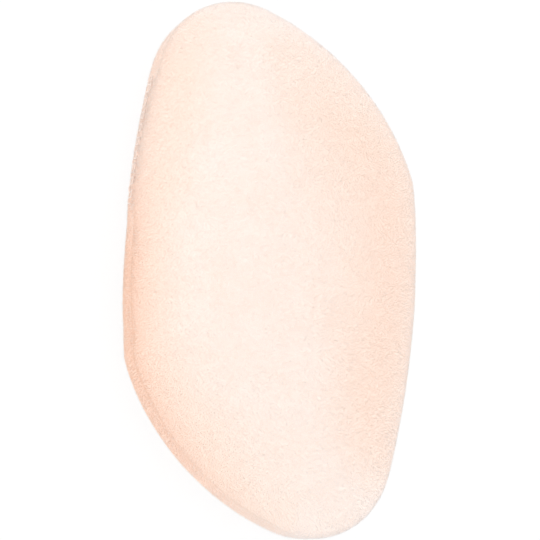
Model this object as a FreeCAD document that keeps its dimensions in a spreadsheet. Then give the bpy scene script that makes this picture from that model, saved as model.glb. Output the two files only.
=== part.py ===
"""A soft makeup sponge: a foam core in a cover of two velour panels, sewn together round a slanted outline.

It lies on its back. X runs across the sponge, Y along it, and Z up through its thickness, in millimetres.
The origin is the middle of the flat patch that it rests on. The panels meet at the seam plane, half way up.
"""

import FreeCAD, Part
import math
import os
from dataclasses import dataclass
from enum import IntEnum

import Sketcher

SIZES = {
    # the outline at its widest: four round corners, joined by four long arcs, the same after a half turn
    "tip_lean": 6.0,
    "tip_reach": 28.4,
    "tip_radius": 11.5,
    "corner_reach": 15.8,
    "corner_lift": 12.5,
    "corner_radius": 5.6,
    "slant_radius": 41.0,
    "steep_radius": 129.0,
    # each panel's crown above or below the seam plane, and the flats at the two crowns
    "front_rise": 14.0,
    "back_rise": 12.5,
    "crown_power": 2.3,
    "crown_flat_depth": 0.15,
    "rest_flat_depth": 0.5,
    # the velour with its pile, and how its edge rolls in to the seam
    "cover_thickness": 1.6,
    "lip_height": 2.4,
    "seam_draw": 1.2,
    "allowance_width": 2.0,
    # the foam and the sewing threads
    "core_clearance": 0.25,
    "thread_diameter": 0.3,
    "thread_clearance": 0.05,
    "stitch_inset": 1.0,
    # the stretch of seam at the upper left that is sewn shut by hand, its middle below the tip's centre
    "closing_drop": 9.9,
    "closing_length": 20.0,
    "closing_pitch": 2.0,
    "closing_bend": 0.25,
    "closing_angle": 55.0,
}
LIP_STEPS = 3
CROWN_STEPS = 6
QUARTER_TURN = 90
UPWARD, DOWNWARD = 1, -1
ORIGIN_POINT = (-1, 1)
UP = FreeCAD.Vector(0, 0, 1)


class ArcPoint(IntEnum):
    """The points of an arc that a sketch can hold on to."""

    START = 1
    END = 2
    CENTRE = 3


class Stretch(IntEnum):
    """The arcs of half the outline, in order, anticlockwise from the right corner."""

    CORNER = 0
    SLANT = 1
    TIP = 2
    STEEP = 3


@dataclass(frozen=True)
class Level:
    """One level of a loft, in expressions: the outline drawn in by inset, scaled by share, at a height."""

    inset: str
    share: str
    height: str


def make_sheet(doc):
    """The driving dimensions, one named cell each."""
    sheet = doc.addObject("Spreadsheet::Sheet", "Sizes")
    for row, (name, value) in enumerate(SIZES.items(), start=1):
        sheet.set(f"A{row}", name)
        sheet.set(f"B{row}", str(value))
        sheet.setAlias(f"B{row}", name)
    doc.recompute()
    return sheet


def circle_round(small_a, small_b, radius_a, radius_b, radius):
    """The centre of a large circle that touches two corner circles from outside, across the origin."""
    apart = small_b - small_a
    along = apart.Length / 2 + ((radius - radius_a) ** 2 - (radius - radius_b) ** 2) / (2 * apart.Length)
    aside = math.sqrt((radius - radius_a) ** 2 - along**2)
    unit = apart / apart.Length
    normal = UP.cross(unit)
    foot = small_a + unit * along
    return min((foot + normal * aside, foot - normal * aside), key=lambda point: point.dot(foot))


def outline_arcs(sheet):
    """The widest outline, as centre and radius of its eight arcs, anticlockwise from the right corner."""
    tip = FreeCAD.Vector(-sheet.tip_lean, sheet.tip_reach, 0)
    corner = FreeCAD.Vector(sheet.corner_reach, sheet.corner_lift, 0)
    slant = circle_round(tip, corner, sheet.tip_radius, sheet.corner_radius, sheet.slant_radius)
    steep = circle_round(tip, -corner, sheet.tip_radius, sheet.corner_radius, sheet.steep_radius)
    half = [
        (corner, sheet.corner_radius),
        (slant, sheet.slant_radius),
        (tip, sheet.tip_radius),
        (steep, sheet.steep_radius),
    ]
    return half + [(-centre, radius) for centre, radius in half]


def meeting_angle(arc, neighbour):
    """The direction, from its own centre, in which an arc meets the next one."""
    if arc[1] > neighbour[1]:
        way = neighbour[0] - arc[0]
    else:
        way = arc[0] - neighbour[0]
    return math.atan2(way.y, way.x)


def add_outline(sketch, sheet):
    """Draws the outline in a sketch, tangent all round, and ties its centres and radii to the sheet.

    The sketch's own numbers Inset and Share say how far the outline is drawn in, and then how it is scaled.
    """
    arcs = outline_arcs(sheet)
    count = len(arcs)
    for index, (centre, radius) in enumerate(arcs):
        start = meeting_angle(arcs[index], arcs[index - 1])
        end = meeting_angle(arcs[index], arcs[(index + 1) % count])
        circle = Part.Circle(centre * sketch.Share, UP, (radius - sketch.Inset) * sketch.Share)
        sketch.addGeometry(Part.ArcOfCircle(circle, start, end), False)
    for index in range(count):
        following = (index + 1) % count
        sketch.addConstraint(Sketcher.Constraint("Tangent", index, ArcPoint.END, following, ArcPoint.START))
    for index in Stretch:
        sketch.addConstraint(Sketcher.Constraint("Equal", index, index + count // 2))
    for index in (Stretch.CORNER, Stretch.TIP):
        ends = (index, ArcPoint.CENTRE, index + count // 2, ArcPoint.CENTRE)
        sketch.addConstraint(Sketcher.Constraint("Symmetric", *ends, *ORIGIN_POINT))
    radii = {
        Stretch.CORNER: "corner_radius",
        Stretch.SLANT: "slant_radius",
        Stretch.TIP: "tip_radius",
        Stretch.STEEP: "steep_radius",
    }
    for index, name in radii.items():
        value = (getattr(sheet, name) - sketch.Inset) * sketch.Share
        number = sketch.addConstraint(Sketcher.Constraint("Radius", index, value))
        sketch.renameConstraint(number, name)
        sketch.setExpression(f"Constraints.{name}", f"(Sizes.{name} - .Inset) * .Share")
    places = {
        "tip_lean": ("DistanceX", Stretch.TIP, ArcPoint.CENTRE, *ORIGIN_POINT),
        "tip_reach": ("DistanceY", *ORIGIN_POINT, Stretch.TIP, ArcPoint.CENTRE),
        "corner_reach": ("DistanceX", *ORIGIN_POINT, Stretch.CORNER, ArcPoint.CENTRE),
        "corner_lift": ("DistanceY", *ORIGIN_POINT, Stretch.CORNER, ArcPoint.CENTRE),
    }
    for name, measure in places.items():
        number = sketch.addConstraint(Sketcher.Constraint(*measure, getattr(sheet, name) * sketch.Share))
        sketch.renameConstraint(number, name)
        sketch.setExpression(f"Constraints.{name}", f"Sizes.{name} * .Share")


def origin_plane(body, role):
    """One of a body's own origin planes."""
    return next(feature for feature in body.Origin.OriginFeatures if feature.Role == role)


def level_sketch(body, sheet, name, level):
    """A sketch of the outline on the body's seam plane, raised to its level."""
    sketch = body.newObject("Sketcher::SketchObject", name)
    sketch.AttachmentSupport = [(origin_plane(body, "XY_Plane"), "")]
    sketch.MapMode = "FlatFace"
    sketch.setExpression("AttachmentOffset.Base.z", level.height)
    for number, expression in (("Inset", level.inset), ("Share", level.share)):
        sketch.addProperty("App::PropertyFloat", number, "Outline")
        sketch.setExpression(number, expression)
    sketch.recompute()
    add_outline(sketch, sheet)
    return sketch


def loft(body, sheet, kind, name, levels):
    """A smooth loft through levels of the outline, added to the body or cut out of it."""
    sketches = [level_sketch(body, sheet, f"{name}_{index}", level) for index, level in enumerate(levels)]
    body.Document.recompute()
    feature = body.newObject(kind, name)
    feature.Profile = sketches[0]
    feature.Sections = sketches[1:]
    feature.Ruled = False
    body.Document.recompute()
    return feature


def lip_levels(side):
    """A panel's edge, rolled in to the seam: a quarter of an ellipse, from the seam plane to full width."""
    levels = []
    for step in range(LIP_STEPS + 1):
        angle = QUARTER_TURN * step / LIP_STEPS
        levels.append(
            Level(
                f"Sizes.seam_draw * (1 - sin({angle}))",
                "1",
                f"{side} * Sizes.lip_height * (1 - cos({angle}))",
            )
        )
    return levels


def crown_levels(side, base, start, rise, flat_depth, inset, steps):
    """A dome on the outline: a superellipse that rises from base, kept from start to a flat near its top."""
    height = f"({rise} - {base})"
    first = f"asin((({start} - {base}) / {height}) ^ (Sizes.crown_power / 2))"
    last = f"asin((1 - {flat_depth} / {height}) ^ (Sizes.crown_power / 2))"
    levels = []
    for step in range(steps + 1):
        angle = f"({first} * {steps - step} + {last} * {step}) / {steps}"
        levels.append(
            Level(
                inset,
                f"cos({angle}) ^ (2 / Sizes.crown_power)",
                f"{side} * ({base} + {height} * sin({angle}) ^ (2 / Sizes.crown_power))",
            )
        )
    return levels


def new_body(doc, label):
    """A body whose own zero height is the seam plane."""
    body = doc.addObject("PartDesign::Body", label)
    body.Label = label
    body.setExpression("Placement.Base.z", "Sizes.back_rise - Sizes.rest_flat_depth")
    return body


def prism(body, sheet, kind, name, level, length, reverse):
    """The outline at one level, padded or pocketed by a length."""
    sketch = level_sketch(body, sheet, f"{name}_outline", level)
    body.Document.recompute()
    feature = body.newObject(kind, name)
    feature.Profile = sketch
    feature.Reversed = reverse
    feature.setExpression("Length", length)
    body.Document.recompute()
    return feature


def make_cover(doc, sheet, label, side, rise, flat_depth):
    """One velour panel: a crowned shell with a rolled lip and its seam allowance, turned in at the seam."""
    body = new_body(doc, label)
    lip = "Sizes.lip_height"
    wall = "Sizes.cover_thickness"
    outside = crown_levels(side, lip, lip, rise, flat_depth, "0", CROWN_STEPS)
    inside = crown_levels(side, wall, wall, f"({rise} - {wall})", flat_depth, wall, CROWN_STEPS)
    opening = Level("Sizes.seam_draw + Sizes.allowance_width", "1", "0")
    loft(body, sheet, "PartDesign::AdditiveLoft", f"{label}_lip", lip_levels(side))
    loft(body, sheet, "PartDesign::AdditiveLoft", f"{label}_crown", outside)
    loft(body, sheet, "PartDesign::SubtractiveLoft", f"{label}_hollow", inside)
    prism(body, sheet, "PartDesign::Pocket", f"{label}_opening", opening, wall, side == UPWARD)
    return body


def make_core(doc, sheet):
    """The foam: two crowned halves, and a waist between them that clears the allowances and threads."""
    body = new_body(doc, "foam_core")
    wall = "Sizes.cover_thickness"
    inset = f"({wall} + Sizes.core_clearance)"
    seat = f"({wall} + Sizes.thread_diameter + 2 * Sizes.thread_clearance)"
    waist = Level("Sizes.seam_draw + Sizes.allowance_width + Sizes.core_clearance", "1", f"-{seat}")
    front_top = f"(Sizes.front_rise - {inset})"
    back_top = f"(Sizes.back_rise - {inset})"
    front = crown_levels(UPWARD, wall, seat, front_top, "Sizes.crown_flat_depth", inset, CROWN_STEPS)
    back = crown_levels(DOWNWARD, wall, seat, back_top, "Sizes.rest_flat_depth", inset, CROWN_STEPS)
    prism(body, sheet, "PartDesign::Pad", "core_waist", waist, f"2 * {seat}", False)
    loft(body, sheet, "PartDesign::AdditiveLoft", "core_front", front)
    loft(body, sheet, "PartDesign::AdditiveLoft", "core_back", back)
    return body


def make_seam_thread(doc, sheet, label, side):
    """One of the seam's two threads: a round ring that lies on its panel's seam allowance."""
    body = new_body(doc, label)
    height = "(Sizes.cover_thickness + Sizes.thread_clearance + Sizes.thread_diameter / 2)"
    line = Level("Sizes.seam_draw + Sizes.stitch_inset", "1", f"{side} * {height}")
    path = level_sketch(body, sheet, f"{label}_path", line)
    section = body.newObject("Sketcher::SketchObject", f"{label}_section")
    section.AttachmentSupport = [(path, "Edge1")]
    section.MapMode = "NormalToEdge"
    circle = Part.Circle(FreeCAD.Vector(), UP, sheet.thread_diameter / 2)
    ring = section.addGeometry(circle, False)
    section.addConstraint(Sketcher.Constraint("Coincident", ring, ArcPoint.CENTRE, *ORIGIN_POINT))
    width = section.addConstraint(Sketcher.Constraint("Diameter", ring, sheet.thread_diameter))
    section.setExpression(f"Constraints[{width}]", "Sizes.thread_diameter")
    doc.recompute()
    pipe = body.newObject("PartDesign::AdditivePipe", f"{label}_ring")
    pipe.Profile = section
    pipe.Spine = (path, [f"Edge{number}" for number in range(1, path.GeometryCount + 1)])
    doc.recompute()
    return body


def rounded_path(points, bend):
    """A wire through points in space, straight from each to the next, with its turns rounded."""
    edges = []
    here = points[0]
    for before, turn, after in zip(points, points[1:], points[2:]):
        back = (before - turn).normalize()
        ahead = (after - turn).normalize()
        half = back.getAngle(ahead) / 2
        inward = (back + ahead).normalize()
        leave = turn + back * (bend / math.tan(half))
        arrive = turn + ahead * (bend / math.tan(half))
        middle = turn + inward * (bend / math.sin(half) - bend)
        edges.append(Part.LineSegment(here, leave).toShape())
        edges.append(Part.Arc(leave, middle, arrive).toShape())
        here = arrive
    edges.append(Part.LineSegment(here, points[-1]).toShape())
    return Part.Wire(edges)


def on_the_lip(sheet):
    """How far out from the widest outline, and above the seam plane, a thread on a panel's lip lies."""
    turn = math.radians(sheet.closing_angle)
    out = sheet.seam_draw * (math.sin(turn) - 1)
    up = sheet.lip_height * (1 - math.cos(turn))
    slope = FreeCAD.Vector(math.sin(turn) / sheet.seam_draw, -math.cos(turn) / sheet.lip_height, 0)
    normal = slope.normalize()
    lift = sheet.thread_diameter / 2 + sheet.thread_clearance
    return out + normal.x * lift, up + normal.y * lift


def make_closing_thread(doc, sheet):
    """The hand-sewn stretch: one thread along one lip, across the groove to the other, and so on."""
    centre, radius = outline_arcs(sheet)[Stretch.STEEP]
    out, up = on_the_lip(sheet)
    runs = round(2 * sheet.closing_length / sheet.closing_pitch)
    points = []
    for index in range(runs + 1):
        along = sheet.tip_reach - sheet.closing_drop + sheet.closing_length * (0.5 - index / runs)
        across = centre.x - math.sqrt((radius + out) ** 2 - (along - centre.y) ** 2)
        side = (-1) ** index
        points.append(FreeCAD.Vector(across, along, up * side))
        points.append(FreeCAD.Vector(across, along, -up * side))
    path = rounded_path(points, sheet.closing_bend)
    section = Part.Circle(points[0], points[1] - points[0], sheet.thread_diameter / 2)
    thread = doc.addObject("Part::Feature", "closing_thread")
    thread.Shape = path.makePipeShell([Part.Wire(section.toShape())], True, False)
    thread.Placement.Base.z = sheet.back_rise - sheet.rest_flat_depth
    expected = path.Length * math.pi * section.Radius**2
    print("closing thread: volume over section times length", round(thread.Shape.Volume / expected, 4))
    return thread


def check(doc, subparts):
    """Stops if any object failed, or if a sub-part's shape is empty, not valid or not one solid."""
    for item in doc.Objects:
        if "Invalid" in item.State or "Error" in item.State:
            raise RuntimeError(f"{item.Name} failed: {item.State}")
    for item in subparts:
        shape = item.Shape
        if shape.isNull() or not shape.isValid() or len(shape.Solids) != 1:
            raise RuntimeError(f"{item.Label} isn't one valid solid")


def main():
    """Builds the sponge's sub-parts and writes each one's solid."""
    doc = FreeCAD.newDocument("makeup_sponge")
    sheet = make_sheet(doc)
    subparts = [
        make_cover(doc, sheet, "front_cover", UPWARD, "Sizes.front_rise", "Sizes.crown_flat_depth"),
        make_cover(doc, sheet, "back_cover", DOWNWARD, "Sizes.back_rise", "Sizes.rest_flat_depth"),
        make_core(doc, sheet),
        make_seam_thread(doc, sheet, "seam_needle_thread", UPWARD),
        make_seam_thread(doc, sheet, "seam_bobbin_thread", DOWNWARD),
        make_closing_thread(doc, sheet),
    ]
    doc.recompute()
    check(doc, subparts)
    os.makedirs("parts", exist_ok=True)
    for item in subparts:
        item.Shape.exportStep(f"parts/{item.Label}.step")
        print(item.Label, round(item.Shape.Volume, 2), "mm3")


main()
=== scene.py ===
"""The looks of a makeup sponge: two velour panels with their pile, the foam in them, and the threads.

The sponge lies on its back. X runs across it, Y along it and Z up through its thickness, in metres.
"""

import logging
import math
from dataclasses import dataclass
from enum import Enum
from functools import partial
from typing import Any, Optional, Union

import bpy
import numpy as np
from mathutils import Matrix, Vector


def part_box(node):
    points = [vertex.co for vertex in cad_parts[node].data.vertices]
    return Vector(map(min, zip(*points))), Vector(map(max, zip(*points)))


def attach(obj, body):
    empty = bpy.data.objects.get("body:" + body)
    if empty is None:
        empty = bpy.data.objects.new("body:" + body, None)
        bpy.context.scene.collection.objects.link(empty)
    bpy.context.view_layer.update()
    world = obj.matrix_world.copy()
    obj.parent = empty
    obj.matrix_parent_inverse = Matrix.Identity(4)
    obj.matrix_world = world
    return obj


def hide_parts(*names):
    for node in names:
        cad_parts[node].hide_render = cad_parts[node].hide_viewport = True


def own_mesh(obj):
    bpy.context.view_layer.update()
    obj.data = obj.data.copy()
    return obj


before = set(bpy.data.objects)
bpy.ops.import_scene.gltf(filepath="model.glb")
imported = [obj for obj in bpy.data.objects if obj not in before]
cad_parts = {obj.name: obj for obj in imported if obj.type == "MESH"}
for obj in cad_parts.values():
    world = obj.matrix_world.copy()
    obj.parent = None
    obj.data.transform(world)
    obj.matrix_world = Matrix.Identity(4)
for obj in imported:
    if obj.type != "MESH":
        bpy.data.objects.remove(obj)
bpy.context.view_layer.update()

MM = 0.001
LOG = logging.getLogger("sponge")
# The arc of the outline, in its order, that is the sponge's left side.
STEEP_LEFT = 3
# A ring's points are halved while its share of the outline is under this, down to the fewest.
LEAST_SHARE = 0.62
FEWEST_COLUMNS = 8


class Side(Enum):
    """Which panel of the cover: the one that faces up, or the one that it lies on."""

    FRONT = 1
    BACK = -1


class Body(Enum):
    """The bodies that the pieces ride on."""

    FRONT = "front"
    BACK = "back"


class Slot(Enum):
    """The record's material slots."""

    VELOUR = "velour"
    FOAM = "foam"
    THREAD = "thread"


def linear(colour: str) -> tuple[float, float, float, float]:
    """Turns an sRGB hex colour into the linear values that shaders take.

    Args:
        colour: Six hex digits after a hash sign.

    Returns:
        Red, green, blue and an alpha of one.
    """
    shares = [int(colour[place : place + 2], 16) / 255 for place in (1, 3, 5)]
    values = [x / 12.92 if x <= 0.04045 else ((x + 0.055) / 1.055) ** 2.4 for x in shares]
    return (*values, 1.0)


def add_node(
    tree: bpy.types.NodeTree,
    kind: str,
    settings: Optional[dict[str, Any]] = None,
    values: Optional[dict[Any, Any]] = None,
    links: Optional[dict[Any, Union[bpy.types.Node, bpy.types.NodeSocket]]] = None,
) -> bpy.types.Node:
    """Adds one node to a tree, with its settings and links.

    Args:
        tree: The tree that gets the node.
        kind: The node's type.
        settings: The node's own properties, by name.
        values: Plain values of its inputs, by name or number.
        links: What feeds its other inputs, by name or number: an output, or a node for its first one.

    Returns:
        The new node.
    """
    node = tree.nodes.new(kind)
    for name, value in (settings or {}).items():
        setattr(node, name, value)
    for key, value in (values or {}).items():
        node.inputs[key].default_value = value
    for key, source in (links or {}).items():
        output = source.outputs[0] if isinstance(source, bpy.types.Node) else source
        tree.links.new(output, node.inputs[key])
    return node


def new_material(
    name: str, values: dict[str, Any]
) -> tuple[bpy.types.Material, bpy.types.NodeTree, bpy.types.Node]:
    """Makes a node material that ends in one Principled shader.

    Args:
        name: The material's name.
        values: Plain values of the shader's inputs, by name.

    Returns:
        The material, its tree and its shader node.
    """
    material = bpy.data.materials.new(name)
    material.use_nodes = True
    tree = material.node_tree
    tree.nodes.clear()
    shader = add_node(tree, "ShaderNodeBsdfPrincipled", values=values)
    add_node(tree, "ShaderNodeOutputMaterial", links={"Surface": shader.outputs["BSDF"]})
    return material, tree, shader


@dataclass(frozen=True)
class VelourGround:
    """Knitted velour between the roots of its pile: a soft, matte, peach cloth, with painted shade that
    deepens it towards the seam.
    """

    crown: str = "#FEF1E9"
    flank_shade: str = "#FAD4BE"
    fleck: str = "#FADFCE"
    tuft_size: float = 0.9 * MM
    mottle_size: float = 7.0 * MM
    bump_height: float = 0.15 * MM

    def make(self) -> bpy.types.Material:
        """Builds the material, with its colour deepened by the painted shade and light attribute and varied
        by two sizes of noise.

        Returns:
            The cloth's material.
        """
        values = {
            "Roughness": 0.95, "Specular IOR Level": 0.1,
            "Sheen Weight": 0.3, "Sheen Roughness": 0.5,
        }
        material, tree, shader = new_material("velour_ground", values)
        add = partial(add_node, tree)
        place = add("ShaderNodeTexCoord").outputs["Object"]
        rim = add("ShaderNodeAttribute", {"attribute_name": "rim"}).outputs["Fac"]
        tufts = add(
            "ShaderNodeTexNoise",
            values={"Scale": 1 / self.tuft_size, "Detail": 3.0, "Roughness": 0.6},
            links={"Vector": place},
        )
        mottle = add(
            "ShaderNodeTexNoise",
            values={"Scale": 1 / self.mottle_size, "Detail": 2.0},
            links={"Vector": place},
        )
        # Painted shade: the colour deepens from the crown's to the flank's as the sides turn away from the
        # light.
        body = add(
            "ShaderNodeMix",
            {"data_type": "RGBA"},
            {6: linear(self.crown), 7: linear(self.flank_shade)},
            {0: rim},
        )
        share = add(
            "ShaderNodeMath",
            {"operation": "MULTIPLY"},
            links={0: tufts.outputs["Fac"], 1: mottle.outputs["Fac"]},
        )
        colour = add(
            "ShaderNodeMix",
            {"data_type": "RGBA"},
            {7: linear(self.fleck)},
            {0: share, 6: body.outputs[2]},
        )
        bump = add(
            "ShaderNodeBump",
            values={"Strength": 0.6, "Distance": self.bump_height},
            links={"Height": tufts.outputs["Fac"]},
        )
        tree.links.new(colour.outputs[2], shader.inputs["Base Color"])
        tree.links.new(bump.outputs["Normal"], shader.inputs["Normal"])
        return material


@dataclass(frozen=True)
class PileYarn:
    """Cut pile of fine dyed polyester: pale fibre ends that scatter light, with only a trace of gloss."""

    name: str
    colour: str

    def make(self) -> bpy.types.Material:
        """Builds the material: one tone for one share of the fibres; the deeper tones stand in for shade.
        """
        values = {
            "Roughness": 0.8, "Specular IOR Level": 0.15,
            "Sheen Weight": 0.45, "Sheen Roughness": 0.5,
        }
        return new_material(self.name, {"Base Color": linear(self.colour), **values})[0]


@dataclass(frozen=True)
class OpenCellFoam:
    """Soft open-cell polyurethane foam, cut to shape: off-white, dull, with fine round pores, painted
    darker as shade.
    """

    body: str = "#F7EFE2"
    pore_shade: str = "#D9CBB5"
    pore_size: float = 0.8 * MM

    def make(self) -> bpy.types.Material:
        """Builds the material, with cells for its pores and painted shade in them.

        Returns:
            The foam's material.
        """
        values = {"Roughness": 0.95, "Specular IOR Level": 0.1}
        material, tree, shader = new_material("open_cell_foam", values)
        add = partial(add_node, tree)
        place = add("ShaderNodeTexCoord").outputs["Object"]
        cells = add("ShaderNodeTexVoronoi", values={"Scale": 1 / self.pore_size}, links={"Vector": place})
        # Painted shade: the pores are darker towards their middles, where shade falls in them.
        colour = add(
            "ShaderNodeMix",
            {"data_type": "RGBA"},
            {6: linear(self.pore_shade), 7: linear(self.body)},
            {0: cells.outputs["Distance"]},
        )
        bump = add(
            "ShaderNodeBump",
            values={"Strength": 0.8, "Distance": self.pore_size / 3},
            links={"Height": cells.outputs["Distance"]},
        )
        tree.links.new(colour.outputs[2], shader.inputs["Base Color"])
        tree.links.new(bump.outputs["Normal"], shader.inputs["Normal"])
        return material


@dataclass(frozen=True)
class SewingThread:
    """Spun polyester sewing thread: pale, with the faint gloss of its twisted plies."""

    light: str = "#FFF0E6"
    dark: str = "#FFE4D6"
    fibre_size: float = 0.3 * MM

    def make(self) -> bpy.types.Material:
        """Builds the material, with a fine unevenness along the yarn.

        Returns:
            The thread's material.
        """
        values = {
            "Roughness": 0.6, "Specular IOR Level": 0.3,
            "Sheen Weight": 1.0, "Sheen Roughness": 0.5,
        }
        material, tree, shader = new_material("spun_polyester_thread", values)
        add = partial(add_node, tree)
        place = add("ShaderNodeTexCoord").outputs["Object"]
        fibres = add(
            "ShaderNodeTexNoise",
            values={"Scale": 1 / self.fibre_size, "Detail": 2.0},
            links={"Vector": place},
        )
        colour = add(
            "ShaderNodeMix",
            {"data_type": "RGBA"},
            {6: linear(self.dark), 7: linear(self.light)},
            {0: fibres.outputs["Fac"]},
        )
        tree.links.new(colour.outputs[2], shader.inputs["Base Color"])
        return material


@dataclass(frozen=True)
class Outline:
    """The sponge's slanted outline at its widest: four round corners joined by four long arcs."""

    tip_lean: float = 6.0 * MM
    tip_reach: float = 28.4 * MM
    tip_radius: float = 11.5 * MM
    corner_reach: float = 15.8 * MM
    corner_lift: float = 12.5 * MM
    corner_radius: float = 5.6 * MM
    slant_radius: float = 41.0 * MM
    steep_radius: float = 129.0 * MM

    def arcs(self) -> list[tuple[np.ndarray, float]]:
        """Gives the eight arcs, anticlockwise from the right corner.

        Returns:
            Each arc's centre and radius.
        """
        tip = np.array((-self.tip_lean, self.tip_reach))
        corner = np.array((self.corner_reach, self.corner_lift))
        half = [
            (corner, self.corner_radius),
            (self.bridge(tip, corner, self.slant_radius), self.slant_radius),
            (tip, self.tip_radius),
            (self.bridge(tip, -corner, self.steep_radius), self.steep_radius),
        ]
        return half + [(-centre, radius) for centre, radius in half]

    def bridge(self, tip: np.ndarray, corner: np.ndarray, radius: float) -> np.ndarray:
        """Finds the large circle that touches a tip's and a corner's circles from outside.

        Args:
            tip: The tip's centre.
            corner: The corner's centre.
            radius: The large circle's radius.

        Returns:
            Its centre, on the far side of the sponge.
        """
        apart = corner - tip
        length = np.linalg.norm(apart)
        unit = apart / length
        to_tip = radius - self.tip_radius
        to_corner = radius - self.corner_radius
        along = length / 2 + (to_tip**2 - to_corner**2) / (2 * length)
        aside = math.sqrt(to_tip**2 - along**2)
        foot = tip + unit * along
        normal = np.array((-unit[1], unit[0]))
        return min((foot + normal * aside, foot - normal * aside), key=lambda point: float(point @ foot))

    def ring(self, count: int) -> tuple[np.ndarray, np.ndarray]:
        """Spaces points evenly round the outline.

        Args:
            count: How many points.

        Returns:
            The points, and the outward direction at each.
        """
        arcs = self.arcs()
        starts = []
        for (centre, radius), (before, before_radius) in zip(arcs, arcs[-1:] + arcs[:-1]):
            way = before - centre if radius > before_radius else centre - before
            starts.append(math.atan2(way[1], way[0]))
        turns = [(after - start) % math.tau for start, after in zip(starts, starts[1:] + starts[:1])]
        lengths = [turn * radius for turn, (_, radius) in zip(turns, arcs)]
        ends = np.cumsum(lengths)
        points, normals = [], []
        for place in np.arange(count) / count * ends[-1]:
            index = int(np.searchsorted(ends, place, side="right"))
            centre, radius = arcs[index]
            angle = starts[index] + (place - ends[index] + lengths[index]) / radius
            normal = np.array((math.cos(angle), math.sin(angle)))
            points.append(centre + normal * radius)
            normals.append(normal)
        return np.array(points), np.array(normals)


def ease(share: np.ndarray) -> np.ndarray:
    """Eases a share in and out between nothing and one.

    Args:
        share: The shares, which may lie outside that range.

    Returns:
        The eased shares.
    """
    share = np.clip(share, 0.0, 1.0)
    return share * share * (3 - 2 * share)


@dataclass(frozen=True)
class Lean:
    """How strong one part of the painted shade and light is on each side of the outline, and how far from
    the seam it goes.
    """

    reach: float
    even: float
    across: float
    along: float = 0.0
    both: float = 0.0

    def at(self, away: float, normals: np.ndarray) -> np.ndarray:
        """Gives the strength at one distance from the seam.

        Args:
            away: The distance from the seam, over the cloth.
            normals: Outward directions along the outline.

        Returns:
            A share from nothing to one for each direction.
        """
        x, y = normals.T
        side = self.even + self.across * x + self.along * y + self.both * x * y
        return ease(np.array(1 - away / self.reach)) * np.clip(side, 0.0, 1.0)


@dataclass(frozen=True)
class PaintedShadeAndLight:
    """Painted shade and light on the velour: its colour deepens towards the seam, in a narrow band on the
    left and slowly towards the right.

    The deeper colour is painted shade, where the sides turn away from the light; the nap lies to the right
    and the lower end.
    Along the edge a painted highlight makes it paler, for the light that the fibre tips catch, and on the
    upper left, by the hand-sewn opening, painted light makes it paler.
    """

    # Painted shade deepens the left and right sides; painted light makes the edge and the upper left paler.
    near: Lean = Lean(19.5 * MM, 0.04, -0.97, 0.0, 0.12)
    far: Lean = Lean(40.0 * MM, -0.05, 0.77, 0.08)
    edge_highlight: Lean = Lean(19.0 * MM, 0.36, 0.34, -0.03)
    upper_left_light: Lean = Lean(14.0 * MM, 0.0, -0.55)
    upper_left_light_from: float = -2.0 * MM
    upper_left_light_to: float = 20.0 * MM

    def at(self, away: float, points: np.ndarray, normals: np.ndarray) -> np.ndarray:
        """Gives the depth of the painted shade, less the painted light, at one distance from the seam.

        Args:
            away: The distance from the seam, over the cloth.
            points: Points along the outline.
            normals: Outward directions there.

        Returns:
            A share from nothing to one for each point.
        """
        upper = ease((points[:, 1] - self.upper_left_light_from) / (self.upper_left_light_to - self.upper_left_light_from))
        # Painted shade, less the painted light.
        depth = self.near.at(away, normals) + self.far.at(away, normals)
        paler = self.edge_highlight.at(away, normals) + self.upper_left_light.at(away, normals) * upper
        return np.clip(depth - paler, 0.0, 1.0)


@dataclass(frozen=True)
class Ring:
    """One level of a crowned form: the outline drawn in, scaled, and raised above the seam plane."""

    inset: float
    share: float
    height: float
    pile: float = 0.0
    away: float = 0.0
    pin_every: int = 1


@dataclass(frozen=True)
class Crown:
    """A superellipse dome that rises from a base level of the outline to its top."""

    inset: float
    base: float
    rise: float
    power: float = 2.3
    mean_radius: float = 28.0 * MM
    samples: int = 2001

    def levels(self, spacing: float) -> list[tuple[float, float]]:
        """Spaces levels evenly along the dome, without its base and its pole.

        Args:
            spacing: The distance from one level to the next, along a mean section.

        Returns:
            Each level's share of the outline and its height.
        """
        angles = np.linspace(0, math.pi / 2, self.samples)
        shares = np.cos(angles).clip(0) ** (2 / self.power)
        heights = self.base + (self.rise - self.base) * np.sin(angles) ** (2 / self.power)
        steps = np.hypot(np.diff(shares) * self.mean_radius, np.diff(heights))
        along = np.concatenate(([0.0], np.cumsum(steps)))
        count = round(along[-1] / spacing)
        wanted = along[-1] * np.arange(1, count) / count
        return list(zip(np.interp(wanted, along, shares), np.interp(wanted, along, heights)))


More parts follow.
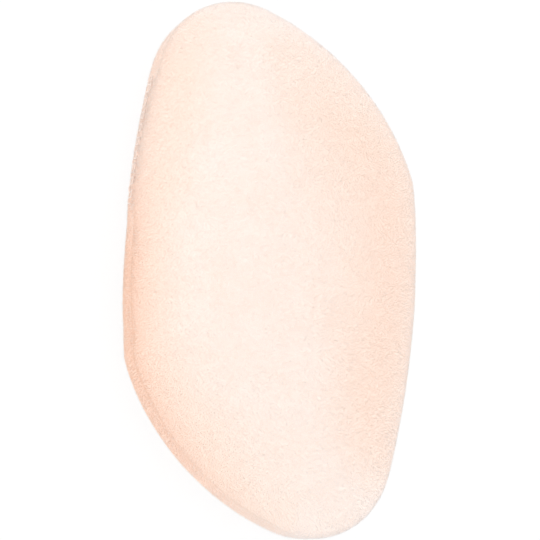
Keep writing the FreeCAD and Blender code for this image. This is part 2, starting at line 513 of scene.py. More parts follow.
def ringed_mesh(
    name: str, outline: Outline, rings: list[Ring], seam: float, up: int, count: int
) -> bpy.types.Object:
    """Makes a closed mesh through rings of the outline, from a pole to a pole.

    Where the rings are small they have fewer points, so that the faces stay even.

    Args:
        name: The object's name.
        outline: The outline that every ring follows.
        rings: The levels in order; a share of zero is a pole.
        seam: The seam plane's height.
        up: One for a form above the seam plane, minus one for its mirror below.
        count: How many points the full rings have.

    Returns:
        The object, with the rings' pile and painted shade and light values as attributes.
    """
    points, normals = outline.ring(count)
    tone = PaintedShadeAndLight()
    vertices, faces, pile, rim, pins, rows = [], [], [], [], [], []
    for ring in rings:
        number = count
        while number > FEWEST_COLUMNS and ring.share < LEAST_SHARE * number / count:
            number //= 2
        number = 1 if ring.share == 0 else number
        step = count // number
        flat = (points[::step] - normals[::step] * ring.inset) * ring.share
        rows.append(range(len(vertices), len(vertices) + number))
        for x, y in flat[:number]:
            vertices.append((x, y, seam + up * ring.height))
        pile += [ring.pile] * number
        # Painted shade and light for each point of the ring, by its distance from the seam.
        rim += list(tone.at(ring.away, points[::step][:number], normals[::step][:number]))
        pins += [ring.pin_every > 0 and column % ring.pin_every == 0 for column in range(number)]
    for low, high in zip(rows, rows[1:]):
        faces += between(list(low), list(high))
    if up < 0:
        faces = [face[::-1] for face in faces]
    mesh = bpy.data.meshes.new(name)
    mesh.from_pydata(vertices, [], faces)
    for title, values in (("pile", pile), ("rim", rim), ("pinned", pins)):
        layer = mesh.attributes.new(title, "FLOAT", "POINT")
        layer.data.foreach_set("value", np.array(values, np.float32))
    mesh.polygons.foreach_set("use_smooth", [True] * len(mesh.polygons))
    mesh.update()
    thing = bpy.data.objects.new(name, mesh)
    bpy.context.scene.collection.objects.link(thing)
    return thing


def between(low: list[int], high: list[int]) -> list[list[int]]:
    """Joins two rings of points with faces.

    Args:
        low: The first ring's points.
        high: The next ring's: as many, half or twice as many, or one.

    Returns:
        The faces, as lists of points.
    """
    count = max(len(low), len(high))
    low_step = count // len(low)
    high_step = count // len(high)
    width = max(low_step, high_step) if min(len(low), len(high)) > 1 else 1
    faces = []
    for start in range(0, count, width):
        here = [low[(start + k) // low_step % len(low)] for k in range(0, width + 1)]
        there = [high[(start + k) // high_step % len(high)] for k in range(width, -1, -1)]
        face = list(dict.fromkeys(here + there))
        faces.append(face)
    return faces


@dataclass(frozen=True)
class Pile:
    """The cut pile of the velour: short tapered fibres that lean together in small tufts.

    Real fibres are several times finer and closer, too fine to show, so these are drawn coarser.
    """

    tuft_size: float = 0.8 * MM
    ridges: tuple[float, float, float] = (0.45, 1.0, 1.0)
    lean: float = 0.22
    stray: float = 0.25
    nap: tuple[float, float, float] = (0.15, -0.35, 0.0)
    shortest: float = 0.75
    longest: float = 1.15
    sides: int = 3
    facing_name: str = "facing"

    def tree(self) -> bpy.types.NodeTree:
        """Builds the node tree that grows one share of the fibres on a cover.

        Returns:
            The tree, with named inputs for the sizes that differ from share to share.
        """
        tree = bpy.data.node_groups.new("velour_pile", "GeometryNodeTree")
        add = partial(add_node, tree)
        face = tree.interface
        face.new_socket("Cover", in_out="INPUT", socket_type="NodeSocketGeometry")
        for name in ("Density", "Depth", "Spread", "Length", "Width", "Nap", "Evenness", "Lit", "Floor"):
            face.new_socket(name, in_out="INPUT", socket_type="NodeSocketFloat")
        face.new_socket("Where", in_out="INPUT", socket_type="NodeSocketString")
        face.new_socket("Seed", in_out="INPUT", socket_type="NodeSocketInt")
        face.new_socket("Yarn", in_out="INPUT", socket_type="NodeSocketMaterial")
        face.new_socket("Fibres", in_out="OUTPUT", socket_type="NodeSocketGeometry")
        given = add("NodeGroupInput").outputs
        # Painted shade and light choose which tone of fibre grows where: the deeper tones stand in for
        # shade.
        rim = add("GeometryNodeInputNamedAttribute", {"data_type": "FLOAT"}, {"Name": "rim"})
        where = add(
            "GeometryNodeInputNamedAttribute", {"data_type": "FLOAT"}, links={"Name": given["Where"]}
        )
        apart = add("ShaderNodeMath", {"operation": "SUBTRACT"}, links={0: rim, 1: given["Depth"]})
        aside = add("ShaderNodeMath", {"operation": "ABSOLUTE"}, links={0: apart})
        band = add(
            "ShaderNodeMapRange", values={1: 0.0, 3: 1.0, 4: 0.0}, links={0: aside, 2: given["Spread"]}
        )
        share = add("ShaderNodeMath", {"operation": "MULTIPLY"}, links={0: band, 1: where})
        density = add("ShaderNodeMath", {"operation": "MULTIPLY"}, links={0: share, 1: given["Density"]})
        roots = add(
            "GeometryNodeDistributePointsOnFaces",
            links={"Mesh": given["Cover"], "Density": density, "Seed": given["Seed"]},
        )
        place = add("GeometryNodeInputPosition")
        ridges = add("ShaderNodeVectorMath", {"operation": "MULTIPLY"}, {1: self.ridges}, {0: place})
        tufts = add(
            "ShaderNodeTexNoise",
            values={"Scale": 1 / self.tuft_size, "Detail": 1.0},
            links={"Vector": ridges},
        )
        centred = add(
            "ShaderNodeVectorMath",
            {"operation": "SUBTRACT"},
            {1: (0.5, 0.5, 0.5)},
            {0: tufts.outputs["Color"]},
        )
        napped = add(
            "ShaderNodeVectorMath", {"operation": "SCALE"}, {0: self.nap}, {"Scale": given["Nap"]}
        )
        leaning = add(
            "ShaderNodeVectorMath",
            {"operation": "MULTIPLY_ADD"},
            {1: (2 * self.lean,) * 3},
            {0: centred, 2: napped},
        )
        stray = add(
            "FunctionNodeRandomValue",
            {"data_type": "FLOAT_VECTOR"},
            {0: (-self.stray,) * 3, 1: (self.stray,) * 3},
            {"Seed": given["Seed"]},
        )
        wander = add("ShaderNodeVectorMath", {"operation": "ADD"}, links={0: leaning, 1: stray})
        way = add(
            "ShaderNodeVectorMath", {"operation": "ADD"}, links={0: roots.outputs["Normal"], 1: wander}
        )
        aim = add("FunctionNodeAlignRotationToVector", {"axis": "Z"}, links={"Vector": way})
        upward = add("ShaderNodeCombineXYZ", links={"Z": given["Lit"]})
        facing = add(
            "ShaderNodeVectorMath", {"operation": "ADD"}, links={0: roots.outputs["Normal"], 1: upward}
        )
        unit = add("ShaderNodeVectorMath", {"operation": "NORMALIZE"}, links={0: facing})
        noted = add(
            "GeometryNodeStoreNamedAttribute",
            {"data_type": "FLOAT_VECTOR", "domain": "POINT"},
            {"Name": self.facing_name},
            {"Geometry": roots.outputs["Points"], "Value": unit},
        )
        scale = add(
            "FunctionNodeRandomValue",
            {"data_type": "FLOAT"},
            {2: self.shortest, 3: self.longest},
            {"Seed": given["Seed"]},
        )
        half = add("ShaderNodeMath", {"operation": "MULTIPLY"}, {1: 0.5}, {0: given["Width"]})
        fibre = add(
            "GeometryNodeMeshCone",
            {"fill_type": "NGON"},
            {"Vertices": self.sides, "Radius Top": 0.0},
            {"Radius Bottom": half, "Depth": given["Length"]},
        )
        grown = add(
            "GeometryNodeInstanceOnPoints",
            links={"Points": noted, "Instance": fibre, "Rotation": aim, "Scale": scale.outputs[1]},
        )
        real = add("GeometryNodeRealizeInstances", links={"Geometry": grown})
        parts = add("ShaderNodeSeparateXYZ", links={0: place})
        above = add(
            "ShaderNodeMath", {"operation": "MAXIMUM"}, links={0: parts.outputs["Z"], 1: given["Floor"]}
        )
        rested = add(
            "ShaderNodeCombineXYZ", links={"X": parts.outputs["X"], "Y": parts.outputs["Y"], "Z": above}
        )
        laid = add("GeometryNodeSetPosition", links={"Geometry": real, "Position": rested})
        smooth = add("GeometryNodeSetShadeSmooth", links={"Geometry": laid})
        face_way = add(
            "GeometryNodeInputNamedAttribute", {"data_type": "FLOAT_VECTOR"}, {"Name": self.facing_name}
        )
        own_way = add("GeometryNodeInputNormal")
        even = add(
            "ShaderNodeVectorMath",
            {"operation": "MULTIPLY_ADD"},
            links={0: face_way, 1: given["Evenness"], 2: own_way},
        )
        soft = add(
            "GeometryNodeSetMeshNormal",
            {"mode": "FREE", "domain": "POINT"},
            links={"Mesh": smooth, "Custom Normal": even},
        )
        dyed = add("GeometryNodeSetMaterial", links={"Geometry": soft, "Material": given["Yarn"]})
        add("NodeGroupOutput", links={0: dyed})
        return tree


@dataclass(frozen=True)
class Share:
    """One share of a panel's pile: the fibres of one tone, which grow where the painted shade and light is
    near their depth.
    """

    name: str
    tone: str
    density: float
    depth: float
    seed: int
    spread: float = 0.34
    length: float = 0.25 * MM
    width: float = 0.06 * MM
    nap: float = 1.0
    evenness: float = 0.6
    lit: float = 0.7
    where: str = "pile"


def plain_copy(thing: bpy.types.Object, name: str) -> bpy.types.Object:
    """Makes an object's evaluated geometry a plain mesh of its own, with no modifiers.

    Args:
        thing: The object with its modifiers.
        name: The new object's name.

    Returns:
        The new object, at the origin.
    """
    evaluated = thing.evaluated_get(bpy.context.evaluated_depsgraph_get())
    mesh = bpy.data.meshes.new_from_object(evaluated)
    mesh.name = name
    made = bpy.data.objects.new(name, mesh)
    bpy.context.scene.collection.objects.link(made)
    return made


def run_tree(
    base: bpy.types.Object, tree: bpy.types.NodeTree, inputs: dict[str, Any], name: str
) -> bpy.types.Object:
    """Runs a geometry tree on an object and keeps the result as a plain mesh.

    Args:
        base: The object that the tree works on.
        tree: The geometry tree.
        inputs: Values of its inputs, by name.
        name: The new object's name.

    Returns:
        The new object, at the origin.
    """
    modifier = base.modifiers.new(name, "NODES")
    modifier.node_group = tree
    for socket in tree.interface.items_tree:
        if socket.in_out == "INPUT" and socket.name in inputs:
            modifier[socket.identifier] = inputs[socket.name]
    made = plain_copy(base, name)
    base.modifiers.remove(modifier)
    return made


@dataclass
class Squeeze:
    """Puts each finished piece on the body that it rides on."""

    joint: str = "squeeze"
    upward: tuple[float, float, float] = (0.0, 0.0, 1.0)

    def attach(self, piece: bpy.types.Object, body: Body) -> None:
        """Makes a finished piece ride on its body, with a mesh of its own.

        Args:
            piece: The finished piece.
            body: The body that it rides on.
        """
        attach(piece, body.value)
        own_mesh(piece)


@dataclass(frozen=True)
class Stuffing:
    """How foam fills out a sewn panel: a cloth simulation with pressure from inside, held at its stitches.

    The panel is simulated larger than it is, as the solver is steady at the size of a garment.
    """

    enlarged: float = 8.0
    pressure: float = 3.0
    frames: int = 16
    most: float = 0.45 * MM
    tension: float = 20.0
    bending: float = 2.0

    def settle(self, shell: bpy.types.Object) -> None:
        """Lets the free outer skin of a shell settle, and keeps the result in its mesh.

        Args:
            shell: The shell, with its pinned attribute.
        """
        mesh = shell.data
        count = len(mesh.vertices)
        before = np.empty(3 * count, np.float32)
        mesh.vertices.foreach_get("co", before)
        held = np.empty(count, np.float32)
        mesh.attributes["pinned"].data.foreach_get("value", held)
        stitched = shell.vertex_groups.new(name="stitched")
        stitched.add([int(index) for index in np.flatnonzero(held > 0.5)], 1.0, "REPLACE")
        filled = shell.vertex_groups.new(name="filled")
        filled.add([int(index) for index in np.flatnonzero(held <= 0.5)], 1.0, "REPLACE")
        mesh.vertices.foreach_set("co", before * self.enlarged)
        cloth = shell.modifiers.new("stuffing", "CLOTH")
        cloth.point_cache.frame_start = 1
        cloth.point_cache.frame_end = self.frames
        feel = cloth.settings
        feel.vertex_group_mass = stitched.name
        feel.effector_weights.gravity = 0.0
        feel.tension_stiffness = feel.compression_stiffness = self.tension
        feel.bending_stiffness = self.bending
        feel.use_pressure = True
        feel.uniform_pressure_force = self.pressure
        feel.vertex_group_pressure = filled.name
        cloth.collision_settings.use_collision = False
        scene = bpy.context.scene
        for number in range(1, self.frames + 1):
            scene.frame_set(number)
        settled = shell.evaluated_get(bpy.context.evaluated_depsgraph_get()).data
        after = np.empty(3 * count, np.float32)
        settled.vertices.foreach_get("co", after)
        scene.frame_set(1)
        shell.modifiers.remove(cloth)
        moves = (after / self.enlarged - before).reshape(-1, 3)
        reach = np.linalg.norm(moves, axis=1)
        LOG.info("%s settles by up to %.2f mm", shell.name, reach.max() / MM)
        kept = moves * np.minimum(1.0, self.most / np.maximum(reach, 1e-9))[:, None]
        mesh.vertices.foreach_set("co", before + kept.ravel())
        mesh.update()


@dataclass(frozen=True)
class HandSeam:
    """The stretch of the seam on the left side that was sewn up by hand, after the foam went in."""

    outline: Outline
    height: float
    middle: float = 18.5 * MM
    length: float = 20.0 * MM
    pitch: float = 2.0 * MM
    slant: float = 0.3 * MM
    lip: float = 0.95 * MM
    lip_lift: float = 0.14 * MM
    groove_lift: float = 0.02 * MM
    uneven: float = 0.15 * MM
    loose: float = 0.3
    drawn: float = 1.45 * MM
    closed: float = 0.6
    lump: float = 0.15 * MM
    lump_spacing: float = 1.7 * MM
    lump_reach: float = 2.6 * MM
    fade: float = 3.0 * MM
    seed: int = 5

    def share(self, places: np.ndarray) -> np.ndarray:
        """How much a place belongs to the stretch, from nothing to one.

        Args:
            places: Points in space, one row each.

        Returns:
            A value for each.
        """
        aside = np.abs(places[:, 1] - self.middle) - self.length / 2
        along = np.clip(0.5 - aside / self.fade, 0.0, 1.0)
        across = np.clip(1.5 - 1.5 * np.abs(places[:, 2] - self.height) / self.lump_reach, 0.0, 1.0)
        return along * across * (places[:, 0] < 0)

    def gather(self, mesh: bpy.types.Mesh) -> None:
        """Puckers a panel's lip along the stretch, and marks where loose fibres stick out of it.

        Args:
            mesh: The panel's mesh.
        """
        places = np.empty(3 * len(mesh.vertices), np.float32)
        mesh.vertices.foreach_get("co", places)
        places = places.reshape(-1, 3)
        share = self.share(places)
        turn = math.tau * places[:, 1] / self.lump_spacing
        # Two waves of unlike length, so that no two lumps are the same.
        waves = np.sin(turn + 1.3 * np.sin(turn * 0.37)) + 0.5 * np.sin(turn * 0.61 + 1.0)
        centre, radius = self.outline.arcs()[STEEP_LEFT]
        inset = radius - np.hypot(places[:, 0] - centre[0], places[:, 1] - centre[1])
        drawn = np.where(inset < self.drawn, np.maximum(inset, 0.0), 0.0)
        places[:, 0] -= share * (waves * self.lump + drawn * self.closed)
        mesh.vertices.foreach_set("co", places.ravel())
        lint = mesh.attributes.new("lint", "FLOAT", "POINT")
        lint.data.foreach_set("value", (share * np.clip(waves, 0.0, 1.0)).astype(np.float32))
        mesh.update()

    def path(self) -> list[tuple[float, float, float]]:
        """Follows the thread along one lip, across the groove and along the other, stitch by stitch.

        Returns:
            The thread's points.
        """
        centre, radius = self.outline.arcs()[STEEP_LEFT]
        chance = np.random.default_rng(self.seed)
        points = []
        for number in range(round(2 * self.length / self.pitch)):
            start = self.middle + self.length / 2 - number * self.pitch / 2
            side = 1 if number % 2 == 0 else -1
            for step, level, out in (
                (0.0, side, self.lip_lift),
                (0.5, 0.0, self.groove_lift),
                (1.0, -side, self.lip_lift),
            ):
                stray = chance.uniform(-self.uneven, self.uneven, 3)
                along = start - step * self.slant + stray[0]
                reach = radius + out + self.loose * stray[1]
                across = centre[0] - math.sqrt(reach**2 - (along - centre[1]) ** 2)
                points.append((across, along, self.height + self.lip * level + stray[2]))
        return points


@dataclass(frozen=True)
class MachineThread:
    """A thread of the machine seam: it lies along the allowance and dips into the cloth at every stitch."""

    outline: Outline
    side: Side
    height: float
    inset: float = 2.35 * MM
    lift: float = 1.44 * MM
    dip: float = 0.1 * MM
    stitches: int = 80
    points: int = 6
    sharpness: int = 8

    def path(self) -> list[tuple[float, float, float]]:
        """Gives the thread's points, once round the sponge.

        Returns:
            Each point's place, in order.
        """
        places, normals = self.outline.ring(self.stitches * self.points)
        path = []
        for number, (x, y) in enumerate(places - normals * self.inset):
            sunk = self.dip * math.cos(math.pi * number / self.points) ** self.sharpness
            path.append((x, y, self.height + self.side.value * (self.lift - sunk)))
        return path


@dataclass(frozen=True)
class Yarn:
    """A sewing thread of three twisted plies, drawn along a path."""

    radius: float = 0.09 * MM
    plies: int = 3
    sides: int = 6
    lay: float = 1.1 * MM
    step: float = 0.14 * MM
    overlap: float = 1.1

    def tree(self) -> bpy.types.NodeTree:
        """Builds the node tree that sweeps the twisted plies along a path of edges.

        Returns:
            The tree, with the path and the material as inputs.
        """
        tree = bpy.data.node_groups.new("plied_thread", "GeometryNodeTree")
        add = partial(add_node, tree)
        tree.interface.new_socket("Path", in_out="INPUT", socket_type="NodeSocketGeometry")
        tree.interface.new_socket("Yarn", in_out="INPUT", socket_type="NodeSocketMaterial")
        tree.interface.new_socket("Thread", in_out="OUTPUT", socket_type="NodeSocketGeometry")
        given = add("NodeGroupInput").outputs
        curve = add("GeometryNodeMeshToCurve", links={"Mesh": given["Path"]})
        bezier = add("GeometryNodeCurveSplineType", {"spline_type": "BEZIER"}, links={"Curve": curve})
        eased = add("GeometryNodeCurveSetHandles", {"handle_type": "AUTO"}, links={"Curve": bezier})
        even = add(
            "GeometryNodeResampleCurve", {"mode": "LENGTH"}, {"Length": self.step}, {"Curve": eased}
        )
        travelled = add("GeometryNodeSplineParameter").outputs["Length"]
        turn = add("ShaderNodeMath", {"operation": "MULTIPLY"}, {1: math.tau / self.lay}, {0: travelled})
        twisted = add("GeometryNodeSetCurveTilt", links={"Curve": even, "Tilt": turn})
        ply = self.radius / (1 + 1 / math.sin(math.pi / self.plies))
        ends = add("GeometryNodeMeshCircle", values={"Vertices": self.plies, "Radius": self.radius - ply})
        round_ply = add(
            "GeometryNodeCurvePrimitiveCircle",
            values={"Resolution": self.sides, "Radius": self.overlap * ply},
        )
        grouped = add("GeometryNodeInstanceOnPoints", links={"Points": ends, "Instance": round_ply})
        profile = add("GeometryNodeRealizeInstances", links={"Geometry": grouped})
        swept = add(
            "GeometryNodeCurveToMesh",
            values={"Fill Caps": True},
            links={"Curve": twisted, "Profile Curve": profile},
        )
        real = add("GeometryNodeRealizeInstances", links={"Geometry": swept})
        smooth = add("GeometryNodeSetShadeSmooth", links={"Geometry": real})
        dyed = add("GeometryNodeSetMaterial", links={"Geometry": smooth, "Material": given["Yarn"]})
        add("NodeGroupOutput", links={0: dyed})
        return tree

    def draw(
        self,
        tree: bpy.types.NodeTree,
        name: str,
        points: list[tuple[float, float, float]],
        closed: bool,
        material: bpy.types.Material,
    ) -> bpy.types.Object:
        """Draws one thread along its points.

        Args:
            tree: The thread's geometry tree.
            name: The new object's name.
            points: The path's points.
            closed: Whether the path runs back to its start.
            material: The thread's material.

        Returns:
            The finished thread.
        """
        count = len(points)
        edges = [(number, (number + 1) % count) for number in range(count if closed else count - 1)]
        mesh = bpy.data.meshes.new(f"{name}_path")
        mesh.from_pydata(points, edges, [])
        path = bpy.data.objects.new(mesh.name, mesh)
        bpy.context.scene.collection.objects.link(path)
        made = run_tree(path, tree, {"Yarn": material}, name)
        bpy.data.objects.remove(path)
        return made


@dataclass(frozen=True)
class Core:
    """The foam core: two crowned halves that fill the panels, with a waist between the seam allowances."""

    outline: Outline
    height: float
    front_rise: float
    back_rise: float
    inset: float = 1.7 * MM
    clearance: float = 1.7 * MM
    base: float = 1.75 * MM
    waist: float = 3.6 * MM
    spacing: float = 1.4 * MM
    columns: int = 128

    def build(self, foam: bpy.types.Material) -> bpy.types.Object:
        """Makes the core in one closed mesh.

        Args:
            foam: The foam's material.

        Returns:
            The finished core.
        """
        rings = []
        for side, rise in ((Side.FRONT, self.front_rise), (Side.BACK, self.back_rise)):
            crown = Crown(self.inset, self.base, rise - self.clearance)
            levels = [(0.0, crown.rise), *reversed(crown.levels(self.spacing)), (1.0, crown.base)]
            half = [Ring(self.inset, share, side.value * level) for share, level in levels]
            half.append(Ring(self.waist, 1.0, side.value * self.base))
            rings += half if side is Side.FRONT else half[::-1]
        # A known fault: minus one also mirrors the heights, so the core is upside down. Its taller half
        # lies in the back panel and comes out below it by up to 0.3 mm.
        core = ringed_mesh("foam_core_shape", self.outline, rings, self.height, -1, self.columns)
        finer = core.modifiers.new("finer", "SUBSURF")
        finer.levels = finer.render_levels = 1
        made = plain_copy(core, "foam_core_cut_foam")
        bpy.data.objects.remove(core)
        made.data.materials.append(foam)
        return made


@dataclass
class Panel:
    """A velour panel of the cover: a crowned shell with a rolled lip, its seam allowance, and its pile."""

    side: Side
    node: str
    body: Body
    outline: Outline
    shares: list[Share]
    wall: float = 1.3 * MM
    lip_height: float = 2.4 * MM
    seam_draw: float = 1.2 * MM
    allowance: float = 2.0 * MM
    pile_depth: float = 0.15 * MM
    seam_gap: float = 0.02 * MM
    bare_turn: float = 15.0
    lip_steps: int = 5
    spacing: float = 0.85 * MM
    columns: int = 256
    stitch_columns: int = 3
    resting: float = 0.14 * MM
    stuffing: Stuffing = Stuffing()

    def rise(self) -> float:
        """How far the panel's crown stands from the seam plane."""
        low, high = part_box(self.node)
        return high.z - low.z

    def rings(self) -> list[Ring]:
        """Lists the shell's levels, from the inner pole over the seam's edge to the outer pole.

        Returns:
            The levels in order.
        """
        rise = self.rise()
        inner = Crown(self.pile_depth + self.wall, self.wall, rise - self.pile_depth - self.wall)
        outer = Crown(self.pile_depth, self.lip_height, rise - self.pile_depth)
        folded = self.pile_depth + self.seam_draw + self.allowance
        rings = [Ring(inner.inset, 0.0, inner.rise)]
        for share, height in reversed(inner.levels(self.spacing)):
            rings.append(Ring(inner.inset, share, height))
        rings.append(Ring(inner.inset, 1.0, inner.base))
        rings.append(Ring(folded, 1.0, self.wall))
        rings.append(Ring(folded, 1.0, self.seam_gap))
        travelled = 0.0
        before = (self.seam_draw, self.seam_gap)
        for step in range(self.lip_steps + 1):
            turn = math.radians(90 * step / self.lip_steps)
            drawn = self.seam_draw * (1 - math.sin(turn))
            height = max(self.lip_height * (1 - math.cos(turn)), self.seam_gap)
            travelled += math.hypot(drawn - before[0], height - before[1])
            before = (drawn, height)
            bare = math.radians(self.bare_turn)
            pile = min(1.0, max(0.0, (turn - bare) / bare))
            pins = self.stitch_columns if step == 0 else 0
            rings.append(Ring(self.pile_depth + drawn, 1.0, height, pile, travelled, pins))
        for number, (share, height) in enumerate(outer.levels(self.spacing), start=1):
            away = travelled + number * self.spacing
            rings.append(Ring(outer.inset, share, height, 1.0, away, 0))
        rings.append(Ring(outer.inset, 0.0, outer.rise, 1.0, away + self.spacing, 0))
        return rings

    def build(self, ground: bpy.types.Material, seam: HandSeam) -> bpy.types.Object:
        """Makes the shell, stuffs it, rounds it and gathers its hand-sewn stretch.

        Args:
            ground: The velour's ground material.
            seam: The hand-sewn stretch.

        Returns:
            The finished shell.
        """
        shell = ringed_mesh(
            f"{self.node}_shell", self.outline, self.rings(), seam.height, self.side.value, self.columns
        )
        self.stuffing.settle(shell)
        if self.side is Side.BACK:
            for vertex in shell.data.vertices:
                vertex.co.z = max(vertex.co.z, self.resting)
        finer = shell.modifiers.new("finer", "SUBSURF")
        finer.levels = finer.render_levels = 1
        made = plain_copy(shell, f"{self.node}_velour")
        bpy.data.objects.remove(shell)
        seam.gather(made.data)
        made.data.materials.append(ground)
        return made

    def grow(self, cover: bpy.types.Object, tree: bpy.types.NodeTree) -> list[bpy.types.Object]:
        """Grows the pile on the shell, one piece for each share of the fibres.

        Args:
            cover: The finished shell.
            tree: The pile's geometry tree.

        Returns:
            The pile's pieces.
        """
        grown = []
        for share in self.shares:
            inputs = {
                "Density": share.density,
                "Depth": share.depth,
                "Spread": share.spread,
                "Length": share.length,
                "Width": share.width,
                "Nap": share.nap,
                "Evenness": share.evenness,
                "Lit": share.lit,
                "Floor": 0.0,
                "Where": share.where,
                "Seed": share.seed,
                "Yarn": PileYarn(f"pile_{share.name}", share.tone).make(),
            }
            grown.append(run_tree(cover, tree, inputs, f"{self.node}_pile_{share.name}"))
        return grown


@dataclass
class Studio:
    """The floor, the lamps and the camera."""

    lens: float = 180.0
    sensor: float = 36.0
    lean_left: float = 14.5
    lean_down: float = 6.5
    distance: float = 0.4032
    near_clip: float = 0.01
    aim: tuple[float, float, float] = (0.2 * MM, 0.12 * MM, 12.0 * MM)
    floor_size: float = 3.0
    floor_own_light: float = 0.85
    floor_colour: str = "#F4F4F4"
    shadow_colour: str = "#707070"
    horizon: float = 1.86
    zenith: float = 0.525
    key_power: float = 1.1
    key_size: float = 0.5
    key_place: tuple[float, float, float] = (-0.07, 0.08, 0.66)

    def build(self) -> None:
        """Sets up the whole studio."""
        self.light()
        self.floor()
        self.camera()

    def light(self) -> None:
        """Makes white surroundings, brightest at the horizon, and one large soft lamp overhead."""
        scene = bpy.context.scene
        scene.view_settings.view_transform = "Standard"
        world = bpy.data.worlds.new("white_room")
        world.use_nodes = True
        scene.world = world
        tree = world.node_tree
        tree.nodes.clear()
        add = partial(add_node, tree)
        path = add("ShaderNodeLightPath")
        way = add("ShaderNodeTexCoord").outputs["Generated"]
        height = add("ShaderNodeSeparateXYZ", links={0: way}).outputs["Z"]
        sky = add("ShaderNodeMix", values={2: self.horizon, 3: self.zenith}, links={0: height})
        strength = add("ShaderNodeMix", values={3: 1.0}, links={0: path.outputs["Is Camera Ray"], 2: sky})
        back = add(
            "ShaderNodeBackground", values={"Color": (1.0, 1.0, 1.0, 1.0)}, links={"Strength": strength}
        )
        add("ShaderNodeOutputWorld", links={"Surface": back})
        lamp = bpy.data.lights.new("key", "AREA")
        lamp.energy = self.key_power
        lamp.size = self.key_size
        key = bpy.data.objects.new("key", lamp)
        key.location = self.key_place
        key.rotation_mode = "QUATERNION"
        key.rotation_quaternion = (Vector(self.aim) - key.location).to_track_quat("-Z", "Y")
        scene.collection.objects.link(key)

    def floor(self) -> None:
        """Makes a plain white floor that keeps a faint shadow."""
        half = self.floor_size / 2
        mesh = bpy.data.meshes.new("floor")
        corners = [(-half, -half, 0.0), (half, -half, 0.0), (half, half, 0.0), (-half, half, 0.0)]
        mesh.from_pydata(corners, [], [(0, 1, 2, 3)])
        floor = bpy.data.objects.new("floor", mesh)
        bpy.context.scene.collection.objects.link(floor)
        material = bpy.data.materials.new("matte_white_board")
        material.use_nodes = True
        tree = material.node_tree
        tree.nodes.clear()
        add = partial(add_node, tree)
        board = add("ShaderNodeBsdfDiffuse", values={"Color": linear(self.floor_colour)})
        matte = add("ShaderNodeBsdfDiffuse", values={"Color": linear(self.shadow_colour)})
        path = add("ShaderNodeLightPath").outputs
        seen = add(
            "ShaderNodeMath",
            {"operation": "MAXIMUM"},
            links={0: path["Is Camera Ray"], 1: path["Is Glossy Ray"]},
        )
        shown = add(
            "ShaderNodeMath", {"operation": "MAXIMUM"}, links={0: seen, 1: path["Is Transmission Ray"]}
        )
        glow = add("ShaderNodeEmission", values={"Strength": self.floor_own_light})
        both = add("ShaderNodeAddShader", links={0: matte, 1: glow})
        mixed = add("ShaderNodeMixShader", links={0: shown, 1: board, 2: both})
        add("ShaderNodeOutputMaterial", links={"Surface": mixed})
        mesh.materials.append(material)

    def camera(self) -> None:
        """Puts the camera over the sponge, leaning to its left and a little to its lower end."""
        lens = bpy.data.cameras.new("camera")
        lens.lens = self.lens
        lens.sensor_width = self.sensor
        lens.clip_start = self.near_clip
        camera = bpy.data.objects.new("camera", lens)
        lean = (-math.tan(math.radians(self.lean_left)), -math.tan(math.radians(self.lean_down)), 1.0)
        back = Vector(lean).normalized()
        across = Vector((0.0, 1.0, 0.0)).cross(back).normalized()
        up = back.cross(across)
        turn = Matrix((across, up, back)).transposed().to_4x4()
        camera.matrix_world = Matrix.Translation(Vector(self.aim) + back * self.distance) @ turn
        bpy.context.scene.collection.objects.link(camera)
        bpy.context.scene.camera = camera


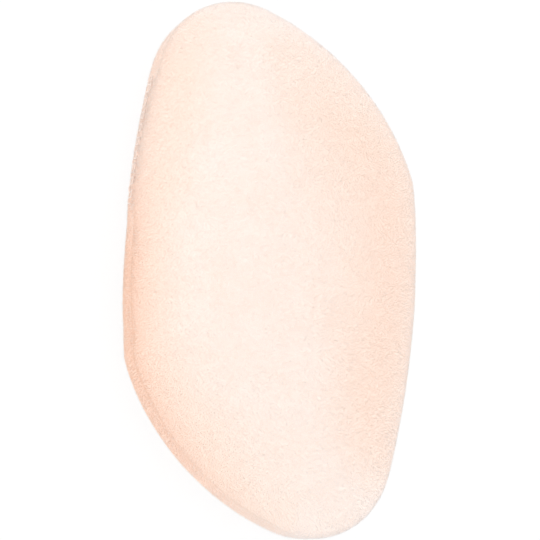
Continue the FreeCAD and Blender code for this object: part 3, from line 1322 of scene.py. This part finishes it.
# Each share's depth places its tone along the painted shade: the palest on the crown, the deeper ones
# standing in for shade.
FRONT_SHARES = [
    Share("white", "#FFF7F3", 16.0e6, 0.0, 11),
    Share("ivory", "#FFF5F0", 16.0e6, 0.0, 12),
    Share("pale", "#FFF4EE", 16.0e6, 0.0, 13),
    Share("blush", "#FFEDE1", 24.0e6, 0.33, 14),
    Share("rosy", "#FFEBDD", 24.0e6, 0.33, 19),
    Share("peach", "#FFE0CD", 48.0e6, 0.67, 15),
    Share("deep", "#F9D0B5", 48.0e6, 1.0, 16),
    Share("fuzz", "#FFF5F0", 1.5e6, 0.5, 17, 9.0, 0.45 * MM, 0.04 * MM, 0.3, 1.5),
    Share("lint", "#FFEFE5", 25.0e6, 0.5, 18, 9.0, 0.5 * MM, 0.05 * MM, 0.3, 1.0, 0.0, "lint"),
]
BACK_SHARES = [
    Share("ivory", "#FFF5F0", 20.0e6, 0.0, 21),
    Share("pale", "#FFF4EE", 20.0e6, 0.0, 22),
    Share("blush", "#FFEDE1", 20.0e6, 0.33, 23),
    Share("rosy", "#FFEBDD", 20.0e6, 0.33, 28),
    Share("peach", "#FFE0CD", 40.0e6, 0.67, 24),
    Share("deep", "#F9D0B5", 40.0e6, 1.0, 25),
    Share("fuzz", "#FFF1E9", 4.0e6, 0.5, 26, 9.0, 0.5 * MM, 0.045 * MM, 0.3, 1.5),
    Share("lint", "#FFEFE5", 25.0e6, 0.5, 27, 9.0, 0.5 * MM, 0.05 * MM, 0.3, 1.0, 0.0, "lint"),
]


def main() -> None:
    """Builds the sponge's pieces in order and reports each one."""
    logging.basicConfig(level=logging.INFO, format="%(name)s: %(message)s")
    outline = Outline()
    squeeze = Squeeze()
    low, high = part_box("front_cover")
    seam = HandSeam(outline, low.z)
    ground = VelourGround().make()
    pile_tree = Pile().tree()
    for panel in (
        Panel(Side.FRONT, "front_cover", Body.FRONT, outline, FRONT_SHARES),
        Panel(Side.BACK, "back_cover", Body.BACK, outline, BACK_SHARES),
    ):
        cover = panel.build(ground, seam)
        for piece in panel.grow(cover, pile_tree):
            squeeze.attach(piece, panel.body)
            LOG.info("%s: %d faces", piece.name, len(piece.data.polygons))
        squeeze.attach(cover, panel.body)
        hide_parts(panel.node)
        LOG.info("%s: %d faces", cover.name, len(cover.data.polygons))
    core = Core(outline, low.z, high.z - low.z, low.z).build(OpenCellFoam().make())
    squeeze.attach(core, Body.BACK)
    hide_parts("foam_core")
    LOG.info("%s: %d faces", core.name, len(core.data.polygons))
    yarn = Yarn()
    yarn_tree = yarn.tree()
    spun = SewingThread().make()
    for node, points, closed in (
        ("seam_needle_thread", MachineThread(outline, Side.FRONT, low.z).path(), True),
        ("seam_bobbin_thread", MachineThread(outline, Side.BACK, low.z).path(), True),
        ("closing_thread", seam.path(), False),
    ):
        thread = yarn.draw(yarn_tree, f"{node}_yarn", points, closed, spun)
        squeeze.attach(thread, Body.BACK)
        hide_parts(node)
        LOG.info("%s: %d faces", thread.name, len(thread.data.polygons))
    Studio().build()


if __name__ == "__main__":
    main()
